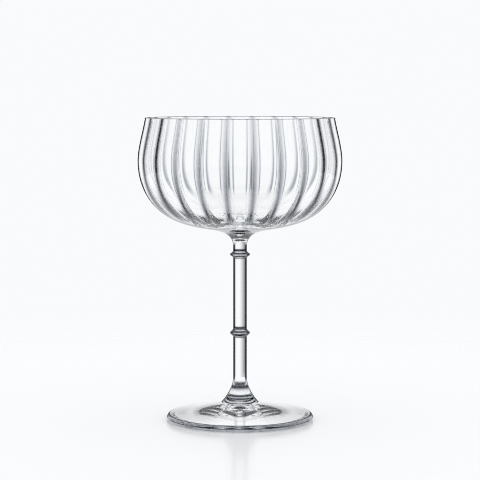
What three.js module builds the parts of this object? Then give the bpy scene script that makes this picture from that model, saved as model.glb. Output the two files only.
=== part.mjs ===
// A stemmed cocktail glass: a coupe bowl with vertical optic ribs inside, on a slim stem with two ring
// knops and a conical foot. The seven bits of glass are stacked on one axis and fused on flat joints.
// Millimetres, +Z up, with the origin in the middle of the plane that the glass stands on.

import * as THREE from "three";

// Lengths of the bits along the axis, from the table up
const FOOT_HUB_HEIGHT = 8.8;
const LOWER_STEM_LENGTH = 32.5;
const LOWER_RING_HEIGHT = 4.3;
const UPPER_STEM_LENGTH = 35.0;
const UPPER_RING_HEIGHT = 3.7;
const NECK_LENGTH = 9.1;
const BOWL_HEIGHT = 56.6;

// Foot: a low cone with a rounded edge, standing on a flat ring round a domed hollow
const FOOT_DIAMETER = 72.6;
const FOOT_EDGE_THICKNESS = 3.3;
const FOOT_EDGE_TOP_ROUND = 1.75;
const FOOT_EDGE_BOTTOM_ROUND = 1.15;
const FOOT_REST_WIDTH = 3.2;
const FOOT_HOLLOW_DEPTH = 3.9;

// Stem: one drawn diameter all the way, flared at 45 degrees where it lands on the foot
const STEM_DIAMETER = 6.85;
const FLARE_DIAMETER = 18.6;
const FLARE_HEIGHT = 12.2;
const FLARE_EASE_TOP = 4.5;
const FLARE_EASE_BOTTOM = 3.0;
const FLARE_ANGLE = THREE.MathUtils.degToRad(45);

// Rings: a V-shaped ridge with a softened tip
const RING_PROUD = 1.48;
const RING_TIP_ROUND = 0.6;

// Neck: a trumpet from the stem to the bowl's button
const NECK_STRAIGHT = 2.7;
const NECK_EASE = 3.0;
const BUTTON_DIAMETER = 17.2;

// Bowl, outside: a shoulder that leans in to the rim, and a squared-off round underside
const BELLY_DIAMETER = 100.7;
const RIM_DIAMETER = 93.4;
const BELLY_HEIGHT = 35.35;
const RIM_LEAN = THREE.MathUtils.degToRad(9.8);
const SHOULDER_FULLNESS = 0.3;
const UNDERSIDE_SQUARENESS = 3.07;
const UNDERSIDE_ROUNDNESS = 2.08;
const COLLAR_DROP = 1.65;
const COLLAR_SPREAD = 4.86;

// Bowl, walls between the ribs
const RIM_WALL = 1.0;
const BELLY_WALL = 1.0;
const BASE_THICKNESS = 5.0;

// Ribs: soft ridges up the inside of the bowl, lower at the rim and fading out towards the middle
const RIB_COUNT = 24;
const RIB_HEIGHT = 0.55;
const RIB_HEIGHT_AT_RIM = 0.35;
const RIB_HALF_WIDTH = 1.8;
const RIB_FADE_INNER_RADIUS = 20;
const RIB_FADE_OUTER_RADIUS = 45;

// Facets
const RIB_FLANK_STEPS = 2;
const FOOT_SIDES = 64;
const STEM_SIDES = 36;
const SWEEP_STEPS = 8;
const FOOT_ROUND_STEPS = 3;
const RING_TIP_STEPS = 4;
const SHOULDER_STEPS = 5;
const UNDERSIDE_STEPS = 10;
const LIP_STEPS = 4;

// Heights of the joints, each on top of the last bit
const lowerStemZ = FOOT_HUB_HEIGHT;
const lowerRingZ = lowerStemZ + LOWER_STEM_LENGTH;
const upperStemZ = lowerRingZ + LOWER_RING_HEIGHT;
const upperRingZ = upperStemZ + UPPER_STEM_LENGTH;
const neckZ = upperRingZ + UPPER_RING_HEIGHT;
const bowlZ = neckZ + NECK_LENGTH;

const stemRadius = STEM_DIAMETER / 2;
const flareRadius = FLARE_DIAMETER / 2;
const buttonRadius = BUTTON_DIAMETER / 2;

// Clear, colourless, polished glass
function clearGlass() {
  return new THREE.MeshStandardMaterial({
    color: 0xeef4f4,
    roughness: 0.03,
    metalness: 0,
    transparent: true,
    opacity: 0.35,
  });
}

// A solid of revolution about +Z from a profile of (radius, height) points that starts and ends on the axis.
function revolve(profile, sides) {
  const geometry = new THREE.LatheGeometry(profile, sides);
  return geometry.rotateX(Math.PI / 2);
}

// A named bit of glass that stands at the given height.
function bit(name, geometry, height) {
  const mesh = new THREE.Mesh(geometry, clearGlass());
  mesh.name = name;
  mesh.position.z = height;
  return mesh;
}

// The points of a path, closed onto the axis at both ends.
function closedOnAxis(path, steps) {
  const points = path.getPoints(steps);
  const bottom = new THREE.Vector2(0, points[0].y);
  const top = new THREE.Vector2(0, points[points.length - 1].y);
  return [bottom, ...points, top];
}

// The foot's profile runs from the domed hollow out over the resting ring, round the edge and up the cone.
function footGeometry() {
  const edgeRadius = FOOT_DIAMETER / 2;
  const restOuter = edgeRadius - FOOT_EDGE_BOTTOM_ROUND;
  const restInner = restOuter - FOOT_REST_WIDTH;
  const edgeMiddle = FOOT_EDGE_THICKNESS - FOOT_EDGE_TOP_ROUND;
  const topOuter = edgeRadius - FOOT_EDGE_TOP_ROUND;
  const domeRadius = (restInner ** 2 + FOOT_HOLLOW_DEPTH ** 2) / (2 * FOOT_HOLLOW_DEPTH);
  const domeAngle = Math.asin(restInner / domeRadius);
  const domeCentre = FOOT_HOLLOW_DEPTH - domeRadius;

  const path = new THREE.Path();
  path.absarc(0, domeCentre, domeRadius, Math.PI / 2, Math.PI / 2 - domeAngle, true);
  path.lineTo(restOuter, 0);
  path.absellipse(restOuter, edgeMiddle, FOOT_EDGE_BOTTOM_ROUND, edgeMiddle, -Math.PI / 2, 0);
  path.absarc(topOuter, edgeMiddle, FOOT_EDGE_TOP_ROUND, 0, Math.PI / 2);
  path.lineTo(flareRadius, FOOT_HUB_HEIGHT);
  return revolve(closedOnAxis(path, FOOT_ROUND_STEPS), FOOT_SIDES);
}

// The lower stem flares out to the foot's hub in one concave sweep.
function lowerStemGeometry() {
  const easeOut = FLARE_EASE_BOTTOM * Math.cos(FLARE_ANGLE);
  const easeUp = FLARE_EASE_BOTTOM * Math.sin(FLARE_ANGLE);
  const path = new THREE.Path();
  path.moveTo(flareRadius, 0);
  path.bezierCurveTo(
    flareRadius - easeOut,
    easeUp,
    stemRadius,
    FLARE_HEIGHT - FLARE_EASE_TOP,
    stemRadius,
    FLARE_HEIGHT,
  );
  path.lineTo(stemRadius, LOWER_STEM_LENGTH);
  return revolve(closedOnAxis(path, SWEEP_STEPS), STEM_SIDES);
}

function upperStemGeometry() {
  const path = new THREE.Path();
  path.moveTo(stemRadius, 0);
  path.lineTo(stemRadius, UPPER_STEM_LENGTH);
  return revolve(closedOnAxis(path, SWEEP_STEPS), STEM_SIDES);
}

// A ring knop: two straight flanks from the stem, and a soft tip half way up.
function ringGeometry(height) {
  const middle = height / 2;
  const tipShare = RING_TIP_ROUND / height;
  const sharpTip = stemRadius + RING_PROUD / (1 - tipShare);
  const flankEnd = sharpTip - ((sharpTip - stemRadius) * RING_TIP_ROUND) / middle;
  const path = new THREE.Path();
  path.moveTo(stemRadius, 0);
  path.lineTo(flankEnd, middle - RING_TIP_ROUND);
  path.quadraticCurveTo(sharpTip, middle, flankEnd, middle + RING_TIP_ROUND);
  path.lineTo(stemRadius, height);
  return revolve(closedOnAxis(path, RING_TIP_STEPS), STEM_SIDES);
}

// The height of the bowl's underside above its joint, at a radius: a squared-off ellipse below the belly.
function undersideHeight(radius, belly, depth) {
  const reach = Math.max(0, 1 - (radius / belly) ** UNDERSIDE_SQUARENESS);
  return BELLY_HEIGHT - depth * reach ** (1 / UNDERSIDE_ROUNDNESS);
}

// The outside is also drawn down by the collar towards the button.
function outsideHeight(radius) {
  const belly = BELLY_DIAMETER / 2;
  const buttonReach = 1 - (buttonRadius / belly) ** UNDERSIDE_SQUARENESS;
  const depth = (BELLY_HEIGHT - COLLAR_DROP) / buttonReach ** (1 / UNDERSIDE_ROUNDNESS);
  const collar = COLLAR_DROP * Math.exp((buttonRadius - radius) / COLLAR_SPREAD);
  return undersideHeight(radius, belly, depth) - collar;
}

function insideHeight(radius) {
  const belly = BELLY_DIAMETER / 2 - BELLY_WALL;
  return undersideHeight(radius, belly, BELLY_HEIGHT - BASE_THICKNESS);
}

// Radii from the button, or the axis, out to the belly, closer together where the wall turns upright.
function undersideRadii(from, belly) {
  const startAngle = Math.acos((from / belly) ** (UNDERSIDE_SQUARENESS / 2));
  const radii = [];
  for (let step = 0; step < UNDERSIDE_STEPS; step += 1) {
    const angle = startAngle * (1 - step / UNDERSIDE_STEPS);
    radii.push(belly * Math.cos(angle) ** (2 / UNDERSIDE_SQUARENESS));
  }
  return radii;
}

// The shoulder from the belly up to just under the lip, leaning in by RIM_LEAN at the top.
function shoulder(belly, rim, lipHeight) {
  const ease = SHOULDER_FULLNESS * (lipHeight - BELLY_HEIGHT);
  const curve = new THREE.CubicBezierCurve(
    new THREE.Vector2(belly, BELLY_HEIGHT),
    new THREE.Vector2(belly, BELLY_HEIGHT + ease),
    new THREE.Vector2(rim + ease * Math.sin(RIM_LEAN), lipHeight - ease * Math.cos(RIM_LEAN)),
    new THREE.Vector2(rim, lipHeight),
  );
  return curve.getPoints(SHOULDER_STEPS);
}

// How far a rib stands out from the inside: full at the belly, lower at the rim, nothing in the middle.
function ribHeight(radius, height) {
  if (height < BELLY_HEIGHT) {
    return RIB_HEIGHT * THREE.MathUtils.smoothstep(radius, RIB_FADE_INNER_RADIUS, RIB_FADE_OUTER_RADIUS);
  }
  const share = (height - BELLY_HEIGHT) / (BOWL_HEIGHT - BELLY_HEIGHT);
  return THREE.MathUtils.lerp(RIB_HEIGHT, RIB_HEIGHT_AT_RIM, share);
}

// The bowl's profile, each point with the ribs' height there: up the outside, over the lip, down the inside.
function bowlProfile() {
  const belly = BELLY_DIAMETER / 2;
  const innerBelly = belly - BELLY_WALL;
  const rim = RIM_DIAMETER / 2;
  const lipRadius = RIM_WALL / 2;
  const lipHeight = BOWL_HEIGHT - lipRadius;
  const outside = undersideRadii(buttonRadius, belly).map((r) => new THREE.Vector2(r, outsideHeight(r)));
  outside.push(...shoulder(belly, rim, lipHeight));
  const inside = undersideRadii(0, innerBelly).map((r) => new THREE.Vector2(r, insideHeight(r)));
  inside.push(...shoulder(innerBelly, rim - RIM_WALL, lipHeight));

  const profile = outside.map((point) => ({ point, rib: 0 }));
  for (let step = 1; step < LIP_STEPS; step += 1) {
    const angle = (Math.PI * step) / LIP_STEPS;
    const across = (1 - Math.cos(angle)) / 2;
    const point = new THREE.Vector2(rim - RIM_WALL * across, lipHeight + lipRadius * Math.sin(angle));
    profile.push({ point, rib: RIB_HEIGHT_AT_RIM * across });
  }
  profile.push(...inside.reverse().map((point) => ({ point, rib: ribHeight(point.x, point.y) })));
  return [{ point: new THREE.Vector2(0, 0), rib: 0 }, ...profile];
}

// The bowl is revolved with its columns gathered at the ribs, one more in the middle of each panel between
// them, and each rib is then raised on its inside. The middle of a panel faces the front.
function bowlGeometry() {
  const profile = bowlProfile();
  const columnsPerRib = 2 * RIB_FLANK_STEPS + 2;
  const pitch = (2 * Math.PI) / RIB_COUNT;
  const halfWidthAngle = RIB_HALF_WIDTH / (BELLY_DIAMETER / 2);
  const geometry = new THREE.LatheGeometry(
    profile.map((row) => row.point),
    RIB_COUNT * columnsPerRib,
  );
  const position = geometry.getAttribute("position");
  for (let index = 0; index < position.count; index += 1) {
    const row = index % profile.length;
    const column = (index - row) / profile.length;
    const flankStep = (column % columnsPerRib) - RIB_FLANK_STEPS;
    const rib = Math.floor(column / columnsPerRib);
    const inPanel = flankStep > RIB_FLANK_STEPS;
    const angle = inPanel ? (rib + 1) * pitch : (rib + 0.5) * pitch + flankStep * halfWidthAngle;
    const ribShare = inPanel ? 0 : Math.exp(-(flankStep ** 2));
    const radius = profile[row].point.x - profile[row].rib * ribShare;
    position.setX(index, radius * Math.sin(angle));
    position.setZ(index, radius * Math.cos(angle));
  }
  geometry.computeVertexNormals();
  return geometry.rotateX(Math.PI / 2);
}

// The neck opens from the stem into a trumpet that follows on from the bowl's collar.
function neckGeometry() {
  const nudge = 0.01;
  const rise = outsideHeight(buttonRadius + nudge) - outsideHeight(buttonRadius);
  const collarAngle = Math.atan2(rise, nudge);
  const path = new THREE.Path();
  path.moveTo(stemRadius, 0);
  path.lineTo(stemRadius, NECK_STRAIGHT);
  path.bezierCurveTo(
    stemRadius,
    NECK_STRAIGHT + NECK_EASE,
    buttonRadius - NECK_EASE * Math.cos(collarAngle),
    NECK_LENGTH - NECK_EASE * Math.sin(collarAngle),
    buttonRadius,
    NECK_LENGTH,
  );
  return revolve(closedOnAxis(path, SWEEP_STEPS), STEM_SIDES);
}

const glass = new THREE.Group();
glass.name = "cocktail_glass";
glass.add(
  bit("foot", footGeometry(), 0),
  bit("lower_stem", lowerStemGeometry(), lowerStemZ),
  bit("lower_ring", ringGeometry(LOWER_RING_HEIGHT), lowerRingZ),
  bit("upper_stem", upperStemGeometry(), upperStemZ),
  bit("upper_ring", ringGeometry(UPPER_RING_HEIGHT), upperRingZ),
  bit("neck", neckGeometry(), neckZ),
  bit("bowl", bowlGeometry(), bowlZ),
);

export default glass;
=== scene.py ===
"""The look of a stemmed cocktail glass: a ribbed coupe bowl on a slim ringed stem and a conical foot.

Each bit of glass is a closed body turned about the stem's axis, in metres, +Z up, with the origin in
the middle of the plane that the glass stands on. Where two bits are fused, their joint faces are seen
straight through, so that light runs on from bit to bit as it does in one piece of glass.
"""

import logging
import math
from abc import ABC, abstractmethod
from dataclasses import dataclass, field, replace
from enum import Enum
from typing import Any, Union

import bmesh
import bpy
from mathutils import Matrix, Vector
from mathutils.geometry import interpolate_bezier


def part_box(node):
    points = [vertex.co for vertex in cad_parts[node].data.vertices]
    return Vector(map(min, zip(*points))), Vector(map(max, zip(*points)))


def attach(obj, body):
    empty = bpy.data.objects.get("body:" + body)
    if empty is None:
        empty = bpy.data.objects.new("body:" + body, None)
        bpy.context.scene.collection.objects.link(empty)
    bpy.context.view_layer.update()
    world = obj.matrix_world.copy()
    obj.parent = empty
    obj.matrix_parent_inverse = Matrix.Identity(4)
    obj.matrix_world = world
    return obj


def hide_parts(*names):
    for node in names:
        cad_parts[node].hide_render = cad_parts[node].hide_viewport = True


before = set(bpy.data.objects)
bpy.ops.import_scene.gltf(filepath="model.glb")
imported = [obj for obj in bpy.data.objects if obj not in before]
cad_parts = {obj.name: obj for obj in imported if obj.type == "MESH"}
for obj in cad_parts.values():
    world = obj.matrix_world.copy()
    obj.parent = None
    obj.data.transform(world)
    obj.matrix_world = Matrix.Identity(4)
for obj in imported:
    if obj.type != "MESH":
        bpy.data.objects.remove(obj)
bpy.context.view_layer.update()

LOG = logging.getLogger("cocktail_glass")

MM = 0.001
MERGE_DISTANCE = 1e-7
RIB_COUNT = 24
BODY = "root"

Colour = tuple[float, float, float, float]
Number = Union[float, "Wire"]
Outline = list[bmesh.types.BMVert | bmesh.types.BMEdge]

WHITE: Colour = (1.0, 1.0, 1.0, 1.0)
BLACK: Colour = (0.0, 0.0, 0.0, 1.0)


class Wire:
    """A shader socket that takes part in Python arithmetic; each operation adds a Math node."""

    def __init__(self, net: "ShaderNet", socket: bpy.types.NodeSocket) -> None:
        """Wraps a socket of the given net."""
        self.net = net
        self.socket = socket

    def math(self, operation: str, *values: Number) -> "Wire":
        """Adds one Math node.

        Args:
            operation: the Math node's operation.
            values: the operands, in the order of the node's inputs.

        Returns:
            The node's result.
        """
        node = self.net.node("ShaderNodeMath", {"operation": operation}, dict(enumerate(values)))
        return self.net.wire(node, "Value")

    def __add__(self, other: Number) -> "Wire":
        """self + other."""
        return self.math("ADD", self, other)

    __radd__ = __add__

    def __sub__(self, other: Number) -> "Wire":
        """self - other."""
        return self.math("SUBTRACT", self, other)

    def __rsub__(self, other: Number) -> "Wire":
        """other - self."""
        return self.math("SUBTRACT", other, self)

    def __mul__(self, other: Number) -> "Wire":
        """self * other."""
        return self.math("MULTIPLY", self, other)

    __rmul__ = __mul__

    def __truediv__(self, other: Number) -> "Wire":
        """self / other."""
        return self.math("DIVIDE", self, other)

    def __rtruediv__(self, other: Number) -> "Wire":
        """other / self."""
        return self.math("DIVIDE", other, self)

    def __abs__(self) -> "Wire":
        """The size of self, without its sign."""
        return self.math("ABSOLUTE", self)


class ShaderNet:
    """A node tree that is filled node by node."""

    def __init__(self, tree: bpy.types.NodeTree) -> None:
        """Empties the tree and starts from there."""
        self.tree = tree
        self.tree.nodes.clear()

    def node(
        self,
        kind: str,
        settings: dict[str, Any] | None = None,
        inputs: dict[str | int, Any] | None = None,
    ) -> bpy.types.Node:
        """Adds a node.

        Args:
            kind: the node's type.
            settings: its properties, set first.
            inputs: values or wires for its sockets, by name or number.

        Returns:
            The node.
        """
        node = self.tree.nodes.new(kind)
        for name, value in (settings or {}).items():
            setattr(node, name, value)
        for key, value in (inputs or {}).items():
            socket = self._socket(node.inputs, key)
            if isinstance(value, Wire):
                self.tree.links.new(value.socket, socket)
            else:
                socket.default_value = value
        return node

    def wire(self, node: bpy.types.Node, output: str | int) -> Wire:
        """One output of a node, as a wire."""
        return Wire(self, self._socket(node.outputs, output))

    def axes(self, place: Wire) -> tuple[Wire, Wire, Wire]:
        """A place or direction taken apart into X, Y and Z."""
        split = self.node("ShaderNodeSeparateXYZ", inputs={0: place})
        return self.wire(split, "X"), self.wire(split, "Y"), self.wire(split, "Z")

    def reach(self, place: Wire) -> Wire:
        """How far a place is from the origin."""
        return self.wire(self.node("ShaderNodeVectorMath", {"operation": "LENGTH"}, {0: place}), "Value")

    def mix(self, share: Number, first: Colour | Wire, second: Colour | Wire, blend: str = "MIX") -> Wire:
        """Mixes two colours.

        Args:
            share: how much of the second colour there is.
            first: the colour that it goes on.
            second: the colour that goes on it.
            blend: how they are mixed.

        Returns:
            The mixed colour.
        """
        node = self.node(
            "ShaderNodeMix",
            {"data_type": "RGBA", "blend_type": blend},
            {"Factor": share, "A": first, "B": second},
        )
        return self.wire(node, "Result_Color")

    def ease(self, value: Number, low: float, high: float) -> Wire:
        """A smooth rise from 0 at one value to 1 at another.

        Args:
            value: what the rise follows.
            low: where it starts.
            high: where it ends.

        Returns:
            The rise.
        """
        node = self.node(
            "ShaderNodeMapRange",
            {"interpolation_type": "SMOOTHSTEP"},
            {"Value": value, "From Min": low, "From Max": high},
        )
        return self.wire(node, "Result")

    def hump(self, value: Wire, middle: float, width: Number) -> Wire:
        """A soft hump, 1 at one value and fading to both sides.

        Args:
            value: what the hump follows.
            middle: where it is highest.
            width: how far from there it has fallen to about a third.

        Returns:
            The hump.
        """
        off = (value - middle) / width
        fall = off * off * -1.0
        return fall.math("EXPONENT", fall)

    @staticmethod
    def deepened(share: Wire) -> Wire:
        """A share drawn towards 1, with 0 and 1 left as they are."""
        return share * (2 - share)

    @staticmethod
    def _socket(sockets: Any, key: str | int) -> bpy.types.NodeSocket:
        """The socket that is in use under a name or number."""
        if isinstance(key, int):
            return sockets[key]
        in_use = (socket for socket in sockets if socket.enabled)
        return next(socket for socket in in_use if key in (socket.name, socket.identifier))


def new_material(name: str) -> tuple[bpy.types.Material, ShaderNet]:
    """Starts a material.

    Args:
        name: the material's name.

    Returns:
        The material and its empty net.
    """
    material = bpy.data.materials.new(name)
    material.use_nodes = True
    return material, ShaderNet(material.node_tree)


@dataclass(frozen=True)
class Span:
    """Where a node of the frame lies along the axis, and its greatest radius."""

    bottom: float
    top: float
    radius: float

    @classmethod
    def of(cls, node: str) -> "Span":
        """The span of a node of the frame."""
        low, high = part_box(node)
        return cls(low.z, high.z, (high.x - low.x) / 2)

    @property
    def height(self) -> float:
        """The length along the axis."""
        return self.top - self.bottom


class Surface(Enum):
    """What a face of a bit is: polished glass, fused to the next bit, or the inside of the bowl."""

    POLISHED = 0
    FUSED = 1
    INSIDE = 2


@dataclass(frozen=True)
class ClearGlass:
    """Clear, colourless, fire-polished glass with a faint waviness, with painted shade where it is seen
    edge on.
    """

    name: str = "clear_glass"
    tint: Colour = WHITE
    painted_edge_shade: Colour = (0.004, 0.0042, 0.0047, 1.0)
    painted_shade_hue: Colour = (0.8, 0.88, 1.0, 1.0)
    edge_start: float = 0.68
    edge_full: float = 0.92
    refraction: float = 1.5
    wave_scale: float = 55.0
    wave_detail: float = 1.0
    wave_height: float = 0.02 * MM

    def shade(self, net: ShaderNet, place: Wire, slant: Wire) -> Number:
        """How much painted shade there is away from the edges; plain glass has none.

        Args:
            net: the material's net.
            place: the place on the glass.
            slant: 0 where the glass is seen square on, 1 where it is seen edge on.

        Returns:
            The share of painted shade.
        """
        return 0.0

    def material(self) -> bpy.types.Material:
        """Makes the material.

        Returns:
            The glass as a material.
        """
        material, net = new_material(self.name)
        place = net.wire(net.node("ShaderNodeTexCoord"), "Object")
        waves = net.node(
            "ShaderNodeTexNoise",
            inputs={"Vector": place, "Scale": self.wave_scale, "Detail": self.wave_detail},
        )
        bump = net.node(
            "ShaderNodeBump",
            inputs={"Height": net.wire(waves, "Fac"), "Distance": self.wave_height, "Strength": 1.0},
        )
        # Painted shade: the base colour darkens to a near-black, bluish grey where the glass is seen edge
        # on, and wherever shade() adds more.
        slant = net.wire(net.node("ShaderNodeLayerWeight", inputs={"Blend": 0.5}), "Facing")
        edge = net.ease(slant, self.edge_start, self.edge_full)
        dark = edge.math("MAXIMUM", edge, self.shade(net, place, slant))
        colour = net.mix(dark, self.tint, self.painted_edge_shade)
        shader = net.node(
            "ShaderNodeBsdfPrincipled",
            inputs={
                "Base Color": net.mix(dark, colour, self.painted_shade_hue, "MULTIPLY"),
                "Roughness": 0.0,
                "IOR": self.refraction,
                "Transmission Weight": 1.0,
                "Normal": net.wire(bump, "Normal"),
            },
        )
        net.node("ShaderNodeOutputMaterial", inputs={"Surface": net.wire(shader, "BSDF")})
        return material


@dataclass(frozen=True)
class LiningGlass(ClearGlass):
    """The glass on the inside of the bowl, with painted shade only where it is seen almost edge on."""

    name: str = "lining_glass"
    edge_start: float = 0.985
    edge_full: float = 0.999


@dataclass(frozen=True)
class Band:
    """A level band of painted shade on the glass."""

    height: float
    width: float
    strength: float

    def share(self, net: ShaderNet, up: Wire) -> Wire:
        """How dark the painted shade of the band is at a height."""
        return net.hump(up, self.height, self.width) * self.strength


@dataclass(frozen=True)
class RodGlassWithPaintedShade(ClearGlass):
    """The glass of the stem and its rings, with painted shade down the stem's sides, in the creases of the
    rings and across the flare.
    """

    name: str = "rod_glass"
    edge_start: float = 0.45
    edge_full: float = 0.7
    side_start: float = 0.22
    side_full: float = 0.36
    flare_bottom: float = 18 * MM
    flare_top: float = 21 * MM
    trumpet_bottom: float = 87 * MM
    trumpet_top: float = 89 * MM
    upper_ring_bands: tuple[Band, ...] = (
        Band(84.5 * MM, 0.45 * MM, 1.0),
        Band(83.1 * MM, 0.4 * MM, 1.0),
        Band(80.6 * MM, 0.3 * MM, 0.4),
    )
    lower_ring_bands: tuple[Band, ...] = (
        Band(45.8 * MM, 0.45 * MM, 1.0),
        Band(44.3 * MM, 0.45 * MM, 1.0),
        Band(43.0 * MM, 0.4 * MM, 1.0),
        Band(41.4 * MM, 0.3 * MM, 0.5),
    )
    flare_bands: tuple[Band, ...] = (
        Band(16.8 * MM, 1.3 * MM, 0.97),
        Band(12.6 * MM, 0.45 * MM, 0.97),
        Band(11.3 * MM, 0.45 * MM, 0.97),
    )

    def shade(self, net: ShaderNet, place: Wire, slant: Wire) -> Number:
        """Painted shade down the sides of the straight stem and in the bands.

        Args:
            net: the material's net.
            place: the place on the glass.
            slant: how far from square on it is seen.

        Returns:
            The share of painted shade.
        """
        up = net.axes(place)[2]
        straight = net.ease(up, self.flare_bottom, self.flare_top)
        straight = straight * (1 - net.ease(up, self.trumpet_bottom, self.trumpet_top))
        # Painted shade: darker down the straight stem's sides where it is seen at a slant, and in level
        # bands at the rings and the flare.
        dark = net.ease(slant, self.side_start, self.side_full) * straight
        for band in self.upper_ring_bands + self.lower_ring_bands + self.flare_bands:
            dark = dark.math("MAXIMUM", dark, net.deepened(band.share(net, up)))
        return dark


@dataclass(frozen=True)
class FootGlass(ClearGlass):
    """The glass of the foot, with lines of painted shade round its edge."""

    name: str = "foot_glass"
    edge_start: float = 0.9
    edge_full: float = 1.0
    rim_width: float = 1.2 * MM
    rim_ease: float = 0.5 * MM
    rim_shade: float = 0.5
    rim_bands: tuple[Band, ...] = (
        Band(3.15 * MM, 0.25 * MM, 0.95),
        Band(1.6 * MM, 0.35 * MM, 1.0),
        Band(0.4 * MM, 0.25 * MM, 0.9),
    )

    def shade(self, net: ShaderNet, place: Wire, slant: Wire) -> Number:
        """Painted shade in lines round the edge.

        Args:
            net: the material's net.
            place: the place on the glass.
            slant: how far from square on it is seen; not used here.

        Returns:
            The share of painted shade.
        """
        rim = Span.of("foot").radius - self.rim_width
        up = net.axes(place)[2]
        level = (1.0, 1.0, 0.0)
        flat = net.node("ShaderNodeVectorMath", {"operation": "MULTIPLY"}, {0: place, 1: level})
        # Painted shade: a grey ring round the edge, darker in level lines.
        lines: Number = self.rim_shade
        for band in self.rim_bands:
            line = band.share(net, up)
            lines = line.math("MAXIMUM", line, lines)
        return net.ease(net.reach(net.wire(flat, "Vector")), rim - self.rim_ease, rim) * lines


@dataclass(frozen=True)
class RibbedGlass(ClearGlass):
    """The glass of the bowl, with painted shade along its ribs and at the lip.

    The painted shade on a rib that faces the eye is soft and pale. On one that is seen at a slant it is
    dark, and it spreads low down, where the wall turns under.
    """

    name: str = "wall_glass"
    # A darker painted shade for the bowl's wall.
    painted_edge_shade: Colour = (0.002, 0.0021, 0.0024, 1.0)
    edge_start: float = 0.81
    edge_full: float = 0.87
    front_width: float = 1.6 * MM
    front_shade: float = 0.62
    front_bottom: float = 102 * MM
    front_top: float = 110 * MM
    full_height: float = 115 * MM
    rim_share: float = 0.5
    slant_width: float = 2.0 * MM
    slant_shade: float = 0.985
    slant_start: float = 0.2
    slant_full: float = 0.42
    widest_slant: float = 0.65
    slant_bottom: float = 96 * MM
    slant_top: float = 104 * MM
    low_bottom: float = 104 * MM
    low_top: float = 124 * MM
    low_spread: float = 1.6
    lip: float = 0.5 * MM
    lip_shade: float = 0.8

    def shade(self, net: ShaderNet, place: Wire, slant: Wire) -> Number:
        """Painted shade on the ribs, soft where they face the eye and dark at a slant, and on the lip.

        Args:
            net: the material's net.
            place: the place on the glass.
            slant: how far from square on it is seen.

        Returns:
            The share of the tint.
        """
        bowl = Span.of("bowl")
        across, along, up = net.axes(place)
        turn = across.math("ARCTAN2", across, along) * (RIB_COUNT / math.tau)
        off = abs(turn.math("FRACT", turn) - 0.5) * (math.tau / RIB_COUNT * bowl.radius)
        low = 1 - net.ease(up, self.low_bottom, self.low_top)
        slant_width = self.slant_width * (1 + low * self.low_spread)
        widened = net.ease(slant, self.slant_full, self.widest_slant)
        width = self.front_width + widened * (slant_width - self.front_width)
        front = net.ease(up, self.front_bottom, self.front_top) * self.front_shade
        front = front * (1 - net.ease(up, self.full_height, bowl.top) * (1 - self.rim_share))
        slanted = net.ease(slant, self.slant_start, self.slant_full)
        side = net.ease(up, self.slant_bottom, self.slant_top) * self.slant_shade
        # Painted shade along the ribs and at the lip.
        ribs = net.hump(off, 0.0, width) * (front + slanted * (side - front))
        lip = net.ease(up, bowl.top - self.lip, bowl.top) * self.lip_shade
        return net.deepened(ribs.math("MAXIMUM", ribs, lip))


@dataclass(frozen=True)
class FusedJoint:
    """The face where two bits have melted together: nothing of it shows."""

    name: str = "fused_joint"

    def material(self) -> bpy.types.Material:
        """Makes the material.

        Returns:
            The joint as a material.
        """
        material, net = new_material(self.name)
        shader = net.node("ShaderNodeBsdfPrincipled", inputs={"Alpha": 0.0})
        net.node("ShaderNodeOutputMaterial", inputs={"Surface": net.wire(shader, "BSDF")})
        return material


@dataclass(frozen=True)
class OutlinePoint:
    """A point of a bit's outline, with the height of the ribs raised there."""

    radius: float
    height: float
    rib: float = 0.0
    inside: bool = False


def sweep(start: Vector, lead: Vector, follow: Vector, end: Vector, steps: int) -> list[OutlinePoint]:
    """A smooth sweep in the plane of the outline.

    Args:
        start: the first point, as (radius, height).
        lead: the handle that the sweep leaves towards.
        follow: the handle that it arrives from.
        end: the last point.
        steps: how many pieces it has.

    Returns:
        The points, with both ends.
    """
    curve = interpolate_bezier(start.to_3d(), lead.to_3d(), follow.to_3d(), end.to_3d(), steps + 1)
    return [OutlinePoint(point.x, point.y) for point in curve]


def arc(centre: Vector, radii: Vector, start: float, end: float, steps: int) -> list[OutlinePoint]:
    """Part of an ellipse in the plane of the outline.

    Args:
        centre: its centre, as (radius, height).
        radii: its half widths outwards and upwards.
        start: the first angle, from outwards towards upwards.
        end: the last angle.
        steps: how many pieces it has.

    Returns:
        The points, with both ends.
    """
    angles = [start + (end - start) * step / steps for step in range(steps + 1)]
    return [
        OutlinePoint(centre.x + radii.x * math.cos(angle), centre.y + radii.y * math.sin(angle))
        for angle in angles
    ]


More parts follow.
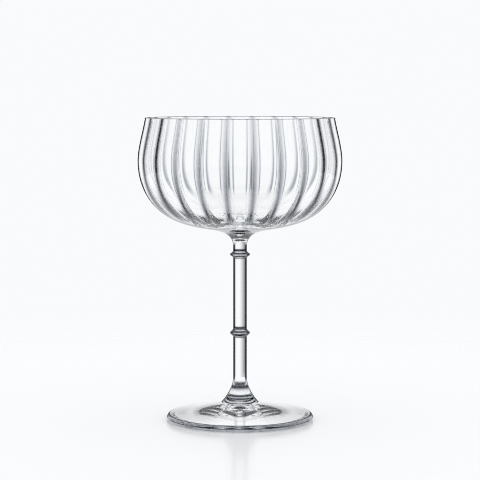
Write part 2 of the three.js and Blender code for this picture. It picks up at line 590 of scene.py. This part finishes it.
@dataclass
class GlassBit(ABC):
    """A bit of glass that is turned about the axis of the stem."""

    name: str
    sides: int = 96
    crease: float = math.radians(40)

    def __post_init__(self) -> None:
        """Takes the bit's place from the frame."""
        self.span = Span.of(self.name)

    @abstractmethod
    def outline(self) -> list[OutlinePoint]:
        """The outline from the axis at one end to the axis at the other."""

    def joints(self) -> list[float]:
        """The heights of the flat faces that are fused to other bits: both ends, on most bits."""
        return [self.span.bottom, self.span.top]

    def turn(self, body: bmesh.types.BMesh, outline: Outline) -> None:
        """Turns the outline all the way round the axis.

        Args:
            body: the mesh that holds it.
            outline: its vertices and edges.
        """
        bmesh.ops.spin(
            body,
            geom=outline,
            cent=(0, 0, 0),
            axis=(0, 0, 1),
            angle=math.tau,
            steps=self.sides,
            use_merge=True,
        )

    def shape(self, body: bmesh.types.BMesh) -> None:
        """Works the turned body further; most bits need nothing."""

    def build(self) -> bpy.types.Object:
        """Turns the outline into a closed body.

        Returns:
            The object, linked to the scene and not yet dressed.
        """
        body = bmesh.new()
        rib = body.verts.layers.float.new("rib")
        inside = body.verts.layers.int.new("inside")
        verts = []
        for point in self.outline():
            vert = body.verts.new((0.0, -point.radius, point.height))
            vert[rib] = point.rib
            vert[inside] = int(point.inside)
            verts.append(vert)
        edges = [body.edges.new(pair) for pair in zip(verts, verts[1:])]
        self.turn(body, verts + edges)
        bmesh.ops.remove_doubles(body, verts=body.verts, dist=MERGE_DISTANCE)
        self.shape(body)
        bmesh.ops.recalc_face_normals(body, faces=body.faces)
        self._mark_faces(body)
        mesh = bpy.data.meshes.new(self.name + "_glass")
        body.to_mesh(mesh)
        body.free()
        mesh.set_sharp_from_angle(angle=self.crease)
        piece = bpy.data.objects.new(self.name + "_glass", mesh)
        bpy.context.scene.collection.objects.link(piece)
        return piece

    def _mark_faces(self, body: bmesh.types.BMesh) -> None:
        """Tells the fused faces and the inside ones from the other polished ones.

        Args:
            body: the closed body.
        """
        inside = body.verts.layers.int["inside"]
        joints = self.joints()
        for face in body.faces:
            face.smooth = True
            surface = Surface.POLISHED
            if all(vert[inside] for vert in face.verts):
                surface = Surface.INSIDE
            for joint in joints:
                if all(abs(vert.co.z - joint) < MERGE_DISTANCE for vert in face.verts):
                    surface = Surface.FUSED
            face.material_index = surface.value

    def dress(self, piece: bpy.types.Object, finishes: dict[Surface, bpy.types.Material]) -> None:
        """Gives a piece its finishes and its place in the frame.

        Args:
            piece: the object from build.
            finishes: the material for each kind of face that the bit has.
        """
        for surface in Surface:
            if surface in finishes:
                piece.data.materials.append(finishes[surface])
        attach(piece, BODY)
        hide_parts(self.name)


@dataclass
class Foot(GlassBit):
    """The conical foot: a rounded edge, a flat ring to stand on and a domed hollow underneath."""

    name: str = "foot"
    sides: int = 144
    edge_thickness: float = 3.3 * MM
    edge_top_round: float = 1.75 * MM
    edge_bottom_round: float = 1.15 * MM
    rest_width: float = 3.2 * MM
    hollow_depth: float = 3.9 * MM
    dome_steps: int = 40
    round_steps: int = 10
    cone_steps: int = 30

    def joints(self) -> list[float]:
        """The hub's top."""
        return [self.span.top]

    def outline(self) -> list[OutlinePoint]:
        """From the top of the hollow out under the foot, round its edge and up the cone.

        Returns:
            The points of the outline.
        """
        edge = self.span.radius
        hub = Span.of("lower_stem").radius
        rest_outer = edge - self.edge_bottom_round
        rest_inner = rest_outer - self.rest_width
        middle = self.edge_thickness - self.edge_top_round
        dome = (rest_inner**2 + self.hollow_depth**2) / (2 * self.hollow_depth)
        dome_angle = math.asin(rest_inner / dome)
        upright = math.pi / 2
        points = arc(
            Vector((0, self.hollow_depth - dome)),
            Vector((dome, dome)),
            upright,
            upright - dome_angle,
            self.dome_steps,
        )
        points += arc(
            Vector((rest_outer, middle)),
            Vector((self.edge_bottom_round, middle)),
            -upright,
            0,
            self.round_steps,
        )
        top = arc(
            Vector((edge - self.edge_top_round, middle)),
            Vector((self.edge_top_round, self.edge_top_round)),
            0,
            upright,
            self.round_steps,
        )
        points += top[1:]
        start = Vector((top[-1].radius, top[-1].height))
        end = Vector((hub, self.span.top))
        for step in range(1, self.cone_steps + 1):
            points.append(OutlinePoint(*start.lerp(end, step / self.cone_steps)))
        return points + [OutlinePoint(0, self.span.top)]


@dataclass
class LowerStem(GlassBit):
    """The stem under the lower ring, flared where it lands on the foot."""

    name: str = "lower_stem"
    flare_height: float = 12.2 * MM
    ease_top: float = 4.5 * MM
    ease_bottom: float = 3.0 * MM
    flare_angle: float = math.radians(45)
    flare_steps: int = 40

    def outline(self) -> list[OutlinePoint]:
        """From the hub in along the flare and up the stem.

        Returns:
            The points of the outline.
        """
        stem = Span.of("upper_stem").radius
        foot = Vector((self.span.radius, self.span.bottom))
        waist = Vector((stem, self.span.bottom + self.flare_height))
        lean = Vector((-math.cos(self.flare_angle), math.sin(self.flare_angle)))
        flare = sweep(
            foot,
            foot + self.ease_bottom * lean,
            waist - Vector((0, self.ease_top)),
            waist,
            self.flare_steps,
        )
        start = OutlinePoint(0, self.span.bottom)
        return [start, *flare, OutlinePoint(stem, self.span.top), OutlinePoint(0, self.span.top)]


@dataclass
class UpperStem(GlassBit):
    """The drawn stem between the rings."""

    name: str = "upper_stem"

    def outline(self) -> list[OutlinePoint]:
        """A straight cylinder.

        Returns:
            The points of the outline.
        """
        radii = [0, self.span.radius, self.span.radius, 0]
        heights = [self.span.bottom, self.span.bottom, self.span.top, self.span.top]
        return [OutlinePoint(*point) for point in zip(radii, heights)]


@dataclass
class Ring(GlassBit):
    """A ring knop: two flanks that rise from the stem to a soft tip half way up."""

    name: str = "upper_ring"
    tip_round: float = 0.6 * MM
    tip_ease: float = 0.18 * MM
    root_round: float = 0.35 * MM
    round_steps: int = 10

    def outline(self) -> list[OutlinePoint]:
        """Up the lower flank, over the tip and up the upper flank.

        Returns:
            The points of the outline.
        """
        bottom, top = self.span.bottom, self.span.top
        stem = Span.of("upper_stem").radius
        middle = self.span.height / 2
        proud = self.span.radius - stem
        sharp_tip = proud / (1 - self.tip_round / self.span.height)
        slope = sharp_tip / middle
        flank_end = sharp_tip - slope * self.tip_round
        root = self.root_round
        start = Vector((0, 0))
        toe = Vector((slope * root, 2 * root))
        lower = sweep(start, start + Vector((0, root)), toe - Vector((0, root)), toe, self.round_steps)
        tip_start = Vector((flank_end, middle - self.tip_round))
        tip = Vector((sharp_tip, middle))
        crest = Vector((proud, middle))
        ease = Vector((0, self.tip_ease))
        lower += sweep(tip_start, tip_start.lerp(tip, 2 / 3), crest - ease, crest, self.round_steps)
        rising = [OutlinePoint(stem + point.radius, bottom + point.height) for point in lower]
        closing = [OutlinePoint(stem + point.radius, top - point.height) for point in reversed(lower[:-1])]
        return [OutlinePoint(0, bottom), *rising, *closing, OutlinePoint(0, top)]


@dataclass
class BowlForm:
    """The curves of the bowl that its own outline and the neck under it share."""

    squareness: float = 3.07
    roundness: float = 2.08
    belly_height: float = 35.35 * MM
    collar_drop: float = 1.65 * MM
    collar_spread: float = 4.86 * MM

    def __post_init__(self) -> None:
        """Takes the button and the belly from the frame."""
        self.button = Span.of("neck").radius
        self.belly = Span.of("bowl").radius

    def underside(self, radius: float, belly: float, depth: float) -> float:
        """The height above the joint of a squared-off round underside.

        Args:
            radius: how far from the axis.
            belly: the radius at which the underside turns upright.
            depth: how far the middle lies below that.

        Returns:
            The height.
        """
        reach = max(0.0, 1 - (radius / belly) ** self.squareness)
        return self.belly_height - depth * reach ** (1 / self.roundness)

    def outside(self, radius: float) -> float:
        """The height above the joint of the outside, drawn down by the collar towards the button.

        Args:
            radius: how far from the axis.

        Returns:
            The height.
        """
        reach = 1 - (self.button / self.belly) ** self.squareness
        depth = (self.belly_height - self.collar_drop) / reach ** (1 / self.roundness)
        collar = self.collar_drop * math.exp((self.button - radius) / self.collar_spread)
        return self.underside(radius, self.belly, depth) - collar

    def radii(self, start: float, belly: float, steps: int) -> list[float]:
        """Radii out to the belly, closer together where the wall turns upright.

        Args:
            start: the first radius.
            belly: the radius at which the underside turns upright.
            steps: how many pieces there are.

        Returns:
            The radii, without the belly itself.
        """
        first = math.acos((start / belly) ** (self.squareness / 2))
        angles = [first * (1 - step / steps) for step in range(steps)]
        return [belly * math.cos(angle) ** (2 / self.squareness) for angle in angles]

    def collar_angle(self) -> float:
        """How steeply the outside rises at the button."""
        nudge = 0.01 * MM
        return math.atan2(self.outside(self.button + nudge) - self.outside(self.button), nudge)


@dataclass
class Neck(GlassBit):
    """The trumpet between the stem and the bowl's button."""

    name: str = "neck"
    straight: float = 2.7 * MM
    ease: float = 3.0 * MM
    trumpet_steps: int = 40
    form: BowlForm = field(default_factory=BowlForm)

    def outline(self) -> list[OutlinePoint]:
        """Up the stem and out along the trumpet.

        Returns:
            The points of the outline.
        """
        stem = Span.of("upper_stem").radius
        waist = Vector((stem, self.span.bottom + self.straight))
        lip = Vector((self.span.radius, self.span.top))
        angle = self.form.collar_angle()
        arrive = Vector((math.cos(angle), math.sin(angle)))
        trumpet = sweep(
            waist,
            waist + Vector((0, self.ease)),
            lip - self.ease * arrive,
            lip,
            self.trumpet_steps,
        )
        start = [OutlinePoint(0, self.span.bottom), OutlinePoint(stem, self.span.bottom)]
        return [*start, *trumpet, OutlinePoint(0, self.span.top)]


@dataclass
class Bowl(GlassBit):
    """The coupe bowl: smooth outside, with soft ribs up its inside."""

    name: str = "bowl"
    rim_radius: float = 46.7 * MM
    rim_lean: float = math.radians(9.8)
    shoulder_fullness: float = 0.3
    rim_wall: float = 1.0 * MM
    belly_wall: float = 1.0 * MM
    base_thickness: float = 5.0 * MM
    rib_height: float = 0.55 * MM
    rib_height_at_rim: float = 0.35 * MM
    rib_half_width: float = 1.8 * MM
    fade_inner: float = 20.0 * MM
    fade_outer: float = 45.0 * MM
    rib_columns: int = 24
    column_crowding: float = 1.8
    underside_steps: int = 44
    shoulder_steps: int = 20
    lip_steps: int = 10
    form: BowlForm = field(default_factory=BowlForm)

    def turn(self, body: bmesh.types.BMesh, outline: Outline) -> None:
        """Turns one rib and repeats it round the axis.

        Args:
            body: the mesh that holds the outline.
            outline: its vertices and edges.
        """
        pitch = math.tau / RIB_COUNT
        bmesh.ops.spin(
            body,
            geom=outline,
            cent=(0, 0, 0),
            axis=(0, 0, 1),
            angle=pitch,
            steps=self.rib_columns,
        )
        panel = body.verts[:] + body.edges[:] + body.faces[:]
        for index in range(1, RIB_COUNT):
            copy = bmesh.ops.duplicate(body, geom=panel)["geom"]
            bmesh.ops.rotate(
                body,
                verts=[part for part in copy if isinstance(part, bmesh.types.BMVert)],
                cent=(0, 0, 0),
                matrix=Matrix.Rotation(index * pitch, 3, "Z"),
            )

    def joints(self) -> list[float]:
        """The button."""
        return [self.span.bottom]

    def shoulder(self, belly: float, rim: float, lip: float) -> list[OutlinePoint]:
        """From the belly up to the lip, leaning in at the top.

        Args:
            belly: the radius at the belly.
            rim: the radius at the lip.
            lip: the height of the lip's root above the joint.

        Returns:
            The points, with both ends.
        """
        start = Vector((belly, self.form.belly_height))
        end = Vector((rim, lip))
        ease = self.shoulder_fullness * (lip - self.form.belly_height)
        lean = Vector((math.sin(self.rim_lean), -math.cos(self.rim_lean)))
        return sweep(start, start + Vector((0, ease)), end + ease * lean, end, self.shoulder_steps)

    def ribbed(self, point: OutlinePoint) -> OutlinePoint:
        """Gives a point of the inside its rib: full at the belly, lower at the rim, none in the middle.

        Args:
            point: the point, with its height above the joint.

        Returns:
            The same point with its rib.
        """
        belly = self.form.belly_height
        if point.height < belly:
            share = (point.radius - self.fade_inner) / (self.fade_outer - self.fade_inner)
            share = min(1.0, max(0.0, share))
            rib = self.rib_height * share * share * (3 - 2 * share)
        else:
            share = (point.height - belly) / (self.span.height - belly)
            rib = self.rib_height + (self.rib_height_at_rim - self.rib_height) * share
        return replace(point, rib=rib, inside=True)

    def outline(self) -> list[OutlinePoint]:
        """Up the outside, over the round lip and down the inside.

        Returns:
            The points of the outline.
        """
        form = self.form
        inner = form.belly - self.belly_wall
        lip_radius = self.rim_wall / 2
        lip = self.span.height - lip_radius
        points = [
            OutlinePoint(radius, form.outside(radius))
            for radius in form.radii(form.button, form.belly, self.underside_steps)
        ]
        points += self.shoulder(form.belly, self.rim_radius, lip)
        rim_middle = Vector((self.rim_radius - lip_radius, lip))
        over = arc(rim_middle, Vector((lip_radius, lip_radius)), 0, math.pi, self.lip_steps)
        points += [
            replace(point, rib=self.rib_height_at_rim * step / self.lip_steps)
            for step, point in enumerate(over[1:-1], 1)
        ]
        inside = [
            OutlinePoint(radius, form.underside(radius, inner, form.belly_height - self.base_thickness))
            for radius in form.radii(0.0, inner, self.underside_steps)
        ]
        inside += self.shoulder(inner, self.rim_radius - self.rim_wall, lip)
        points += [self.ribbed(point) for point in reversed(inside)]
        base = self.span.bottom
        return [OutlinePoint(0, base), *(replace(point, height=base + point.height) for point in points)]

    def shape(self, body: bmesh.types.BMesh) -> None:
        """Gathers the columns at the ribs and raises the ribs, half a pitch away from the front.

        Args:
            body: the turned body.
        """
        rib = body.verts.layers.float["rib"]
        pitch = math.tau / RIB_COUNT
        half = pitch / 2 * self.form.belly
        for vert in body.verts:
            radius = vert.co.xy.length
            if radius < MERGE_DISTANCE:
                continue
            turn = math.atan2(vert.co.x, -vert.co.y) / pitch
            panel = round(turn)
            to_rib = max(0.0, 1 - 2 * abs(turn - panel)) ** self.column_crowding
            angle = (panel + math.copysign((1 - to_rib) / 2, turn - panel)) * pitch
            radius -= vert[rib] * math.exp(-((half * to_rib / self.rib_half_width) ** 2))
            vert.co.xy = radius * math.sin(angle), -radius * math.cos(angle)


@dataclass(frozen=True)
class Heading:
    """The direction in which a ray leaves the scene."""

    across: Wire
    along: Wire
    up: Wire

    def rise(self, start: float, end: float) -> Wire:
        """A smooth step from 0 below one angle over the horizon to 1 above another."""
        return self.up.net.ease(self.up, math.sin(start), math.sin(end))

    def turn(self) -> Wire:
        """The angle to the right of straight ahead, or of straight back."""
        return self.across.math("ARCTAN2", self.across, abs(self.along))

    def swing(self) -> Wire:
        """The angle away from straight ahead, to either side and on to the back."""
        return self.across.math("ARCTAN2", abs(self.across), self.along)


@dataclass(frozen=True)
class Window:
    """The bright part of the wall behind the glass: how wide it is and how it falls off to each side."""

    middle: float
    left: float
    right: float
    fall_left: float
    fall_right: float

    def glow(self, turn: Wire) -> Wire:
        """How bright the wall is.

        Args:
            turn: the angle to the right of straight ahead.

        Returns:
            The brightness, 1 in the middle.
        """
        off = turn - self.middle
        right = off.math("GREATER_THAN", off, 0.0)
        reach = abs(off) * (right / self.right + (1 - right) / self.left)
        fall = self.fall_left + right * (self.fall_right - self.fall_left)
        spread = reach.math("POWER", reach, fall) * -1.0
        return spread.math("EXPONENT", spread)


@dataclass(frozen=True)
class Flag:
    """A dark upright card that stands on both sides and is mirrored in the glass."""

    start: float
    full: float
    fade: float
    end: float

    def share(self, net: ShaderNet, swing: Wire) -> Wire:
        """How much of the light the card takes at an angle away from straight ahead."""
        return net.ease(swing, self.start, self.full) * (1 - net.ease(swing, self.fade, self.end))


@dataclass
class Studio:
    """A white studio: a pale floor, a camera, and walls that fall into shade to the left and right.

    The angles of the windows, the side walls and the flags are away from straight ahead. Those of the
    rise, the low edge of the walls, the ceiling and the tops of the flags are over the horizon. Each
    light is a share of white.
    """

    bounces: int = 96
    pixel_filter: float = 0.9
    camera_distance: float = 0.9
    camera_height: float = 164.31 * MM
    camera_pitch: float = math.radians(4.748)
    sensor_width: float = 36.0
    lens: float = 137.1
    floor_radius: float = 0.45
    floor_fade: float = 0.135
    floor_sides: int = 96
    floor_roughness: float = 0.18
    floor_lift: Colour = (0.03, 0.03, 0.03, 1.0)
    see_through_from: float = 42 * MM
    see_through: float = 0.9
    white: Colour = (0.947, 0.956, 0.973, 1.0)
    shade: Colour = (0.91, 0.95, 1.04, 1.0)
    stem_window: Window = Window(math.radians(5), math.radians(29), math.radians(31.5), 1.65, 5.2)
    bowl_window: Window = Window(math.radians(2), math.radians(60), math.radians(60), 7.0, 7.0)
    mirror_window: Window = Window(math.radians(2), math.radians(7), math.radians(7), 2.0, 2.0)
    window_light: float = 1.05
    solid_crossings: float = 2.5
    trapped_turns: float = 2.5
    rise_start: float = math.radians(-3)
    rise_end: float = math.radians(1)
    side_start: float = math.radians(38)
    side_end: float = math.radians(43)
    low_start: float = math.radians(-10.4)
    low_end: float = math.radians(-9.3)
    ceiling_start: float = math.radians(46)
    ceiling_end: float = math.radians(58)
    ceiling_light: float = 0.08
    under_light: float = 0.8
    near_flag: Flag = Flag(math.radians(2), math.radians(8), math.radians(18), math.radians(26))
    far_flag: Flag = Flag(math.radians(38), math.radians(44), math.radians(85), math.radians(97))
    flag_fade: float = math.radians(30)
    flag_top: float = math.radians(40)
    flag_light: float = 0.05
    room_light: float = 0.3

    def build(self) -> None:
        """Sets up the whole studio."""
        self._camera()
        self._floor()
        self._world()
        scene = bpy.context.scene
        scene.view_settings.view_transform = "Standard"
        scene.cycles.filter_width = self.pixel_filter
        scene.cycles.max_bounces = self.bounces
        scene.cycles.transmission_bounces = self.bounces
        scene.cycles.glossy_bounces = self.bounces
        scene.cycles.transparent_max_bounces = self.bounces

    def _camera(self) -> None:
        """The camera, in front of the glass and a little above its rim."""
        camera = bpy.data.cameras.new("camera")
        camera.sensor_width = self.sensor_width
        camera.lens = self.lens
        holder = bpy.data.objects.new("camera", camera)
        holder.location = (0.0, -self.camera_distance, self.camera_height)
        holder.rotation_euler = (math.pi / 2 - self.camera_pitch, 0.0, 0.0)
        bpy.context.scene.collection.objects.link(holder)
        bpy.context.scene.camera = holder

    def _floor(self) -> None:
        """A pale, slightly glossy floor that fades out towards its edge."""
        disc = bmesh.new()
        bmesh.ops.create_circle(disc, cap_ends=True, segments=self.floor_sides, radius=self.floor_radius)
        mesh = bpy.data.meshes.new("floor")
        disc.to_mesh(mesh)
        disc.free()
        floor = bpy.data.objects.new("floor", mesh)
        bpy.context.scene.collection.objects.link(floor)
        mesh.materials.append(self._floor_paint())

    def _floor_paint(self) -> bpy.types.Material:
        """The floor's white paint, lifted a little towards the white of the walls where it is looked at.

        Returns:
            The paint as a material.
        """
        material, net = new_material("white_floor")
        reach = net.reach(net.wire(net.node("ShaderNodeTexCoord"), "Object"))
        fade = 1 - net.ease(reach, self.floor_fade, self.floor_radius)
        light = net.node("ShaderNodeLightPath")
        beyond = reach.math("GREATER_THAN", reach, self.see_through_from)
        by_glass = net.wire(light, "Is Transmission Ray")
        by_glass = by_glass.math("MAXIMUM", by_glass, net.wire(light, "Is Glossy Ray"))
        shown = fade * (1 - by_glass * (self.see_through + beyond * (1 - self.see_through)))
        paint = net.node(
            "ShaderNodeBsdfPrincipled",
            inputs={
                "Base Color": WHITE,
                "Roughness": self.floor_roughness,
                "Emission Color": net.mix(net.wire(light, "Is Camera Ray"), BLACK, self.floor_lift),
                "Emission Strength": 1.0,
                "Alpha": shown,
            },
        )
        net.node("ShaderNodeOutputMaterial", inputs={"Surface": net.wire(paint, "BSDF")})
        return material

    def _world(self) -> None:
        """White all round to the eye; to the glass, walls that fall into shade and dark cards."""
        world = bpy.data.worlds.new("studio")
        bpy.context.scene.world = world
        world.use_nodes = True
        world.cycles.sampling_method = "NONE"
        net = ShaderNet(world.node_tree)
        place = net.node("ShaderNodeTexCoord")
        heading = Heading(*net.axes(net.wire(place, "Generated")))
        light = net.node("ShaderNodeLightPath")
        through = net.wire(light, "Is Transmission Ray")
        gloss = net.wire(light, "Is Glossy Ray") * net.wire(light, "Is Singular Ray") * (1 - through)
        walls = self.window_light * self._walls(net, light, heading)
        level = 1 - through * (1 - walls) - gloss * (1 - self._cards(net, heading))
        hue = net.mix(level, self.shade, self.white)
        background = net.node(
            "ShaderNodeBackground",
            inputs={"Color": net.mix(1.0, hue, level, "MULTIPLY"), "Strength": 1.0},
        )
        net.node("ShaderNodeOutputWorld", inputs={"Surface": net.wire(background, "Background")})

    def _walls(self, net: ShaderNet, light: bpy.types.Node, heading: Heading) -> Wire:
        """How bright the room is when it is seen through the glass.

        Args:
            net: the world's net.
            light: its Light Path node.
            heading: where the ray goes.

        Returns:
            The brightness, 1 for white.
        """
        turn = heading.turn()
        # A ray crosses two faces of the solid stem, and four of the hollow bowl.
        crossings = net.wire(light, "Transmission Depth")
        hollow = crossings.math("GREATER_THAN", crossings, self.solid_crossings)
        # Light that is turned back inside the glass sees white, unless it is trapped there and rises.
        turns = net.wire(light, "Glossy Depth")
        turned_back = turns.math("MINIMUM", turns, 1.0)
        trapped = turns.math("GREATER_THAN", turns, self.trapped_turns)
        trapped = trapped * heading.rise(self.rise_start, self.rise_end)
        mirrored = 1 - trapped * (1 - self.mirror_window.glow(turn))
        bowl = self.bowl_window.glow(turn)
        bowl = bowl + turned_back * (1 - bowl)
        stem = self.stem_window.glow(turn)
        stem = stem + turned_back * (mirrored - stem)
        glow = stem + hollow * (bowl - stem)
        sides = net.ease(abs(turn), self.side_start, self.side_end)
        walls = glow.math("MAXIMUM", glow, sides)
        high = heading.rise(self.low_start, self.low_end)
        ceiling = heading.rise(self.ceiling_start, self.ceiling_end)
        level = (1 - high * (1 - walls)) * (1 - ceiling) + ceiling * self.ceiling_light
        # Light that comes up from the floor is even.
        scattered = net.wire(light, "Diffuse Depth")
        scattered = scattered.math("MINIMUM", scattered, 1.0)
        return level + scattered * (self.under_light - level)

    def _cards(self, net: ShaderNet, heading: Heading) -> Wire:
        """How bright the room is when it is mirrored in the glass, with its dark cards.

        Args:
            net: the world's net.
            heading: where the ray goes.

        Returns:
            The brightness, 1 for white.
        """
        swing = heading.swing()
        beside = self.near_flag.share(net, swing) + self.far_flag.share(net, swing)
        standing = heading.rise(self.low_start, self.low_end)
        standing = standing * (1 - heading.rise(self.flag_fade, self.flag_top))
        behind = net.ease(swing, self.far_flag.fade, self.far_flag.end)
        return 1 - beside * standing * (1 - self.flag_light) - behind * (1 - self.room_light)


def main() -> None:
    """Builds the studio and the glass."""
    logging.basicConfig(level=logging.INFO, format="%(message)s")
    Studio().build()
    joint = FusedJoint().material()
    rods = {Surface.POLISHED: RodGlassWithPaintedShade().material(), Surface.FUSED: joint}
    foot = {Surface.POLISHED: FootGlass().material(), Surface.FUSED: joint}
    bowl = {Surface.POLISHED: RibbedGlass().material(), Surface.FUSED: joint}
    bowl[Surface.INSIDE] = LiningGlass().material()
    bits = [
        (Foot(), foot),
        (LowerStem(), rods),
        (Ring("lower_ring"), rods),
        (UpperStem(), rods),
        (Ring("upper_ring"), rods),
        (Neck(), rods),
        (Bowl(), bowl),
    ]
    for bit, finishes in bits:
        piece = bit.build()
        bit.dress(piece, finishes)
        LOG.info("%s: %d faces", piece.name, len(piece.data.polygons))


if __name__ == "__main__":
    main()
